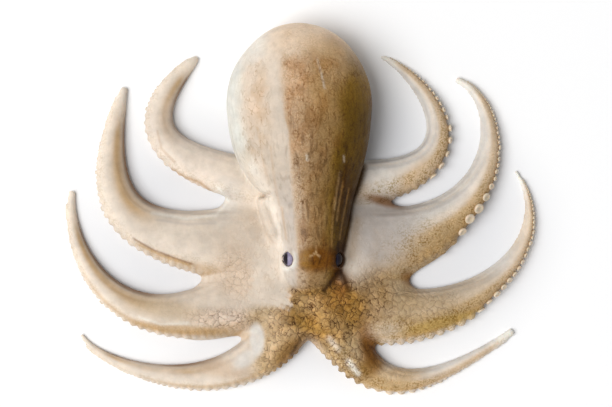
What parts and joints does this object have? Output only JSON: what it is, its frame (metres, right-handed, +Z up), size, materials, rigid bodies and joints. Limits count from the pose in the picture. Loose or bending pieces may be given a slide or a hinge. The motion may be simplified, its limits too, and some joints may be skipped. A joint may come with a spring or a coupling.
{
  "type": "whole raw octopus",
  "caption": "Whole raw octopus lying flat: an egg-shaped mantle and small head over a spread crown of webbed, tapering arms that curl outwards, with suckers along their outer edges.",
  "frame": {"origin": "on the table, under the middle of the head between the two eyes", "axes": "+Z up from the table, +Y from the head to the closed end of the mantle, +X to the animal's left"},
  "size_m": [0.2117, 0.1653, 0.0402],
  "materials": {
    "flesh": "wet, soft, slightly translucent cream skin, browner on the mantle's left and on the outer edges of the arms",
    "eye": "wet dark eye with a violet-grey iris"
  },
  "bodies": {
    "root": {"octopus_body": "flesh", "right_eye": "eye", "left_eye": "eye"}
  },
  "joints": []
}
